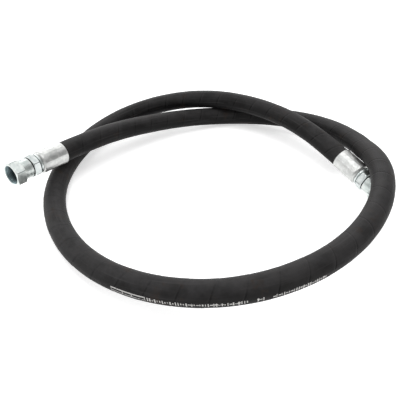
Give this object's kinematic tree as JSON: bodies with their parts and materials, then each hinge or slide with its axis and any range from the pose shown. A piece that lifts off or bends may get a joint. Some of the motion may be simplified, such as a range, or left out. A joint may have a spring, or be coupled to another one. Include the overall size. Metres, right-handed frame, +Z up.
{
  "type": "hydraulic hose",
  "caption": "Wire-reinforced hydraulic hose laid in an over-and-under loop, with a crimped ferrule, hexagonal stem and swivel nut on each end.",
  "frame": {"origin": "middle of the assembly's box on the plane that the loop lies on", "axes": "+Z up, +X along the longest side towards the fitting under the hose, +Y towards the crossing at the back"},
  "size_m": [0.551, 0.4768, 0.075],
  "materials": {
    "cover_rubber": "matt, fabric-wrapped black",
    "liner_rubber": "smooth black",
    "wire_steel": "brass-coated wire",
    "ferrule_zinc": "satin zinc plate",
    "stem_zinc": "bright zinc plate",
    "nut_zinc": "bright zinc plate",
    "ring_steel": "drawn wire"
  },
  "bodies": {
    "hose": {"cover": "cover_rubber", "wire_ply_4": "wire_steel", "wire_ply_3": "wire_steel", "wire_ply_2": "wire_steel", "wire_ply_1": "wire_steel", "inner_tube": "liner_rubber", "ferrule_left": "ferrule_zinc", "ferrule_right": "ferrule_zinc", "stem_left": "stem_zinc", "stem_right": "stem_zinc", "nut_wire_left": "ring_steel", "nut_wire_right": "ring_steel"},
    "left_nut": {"nut_left": "nut_zinc"},
    "right_nut": {"nut_right": "nut_zinc"}
  },
  "joints": [
    {"name": "left_nut_swivel", "type": "hinge", "parent": "hose", "child": "left_nut", "pos_m": [-0.25732, -0.02675, 0.05523], "axis": [-0.5958, -0.7987, 0.084], "continuous": true},
    {"name": "right_nut_swivel", "type": "hinge", "parent": "hose", "child": "right_nut", "pos_m": [0.25587, -0.01432, 0.01886], "axis": [0.5216, -0.8358, -0.1712], "continuous": true}
  ]
}
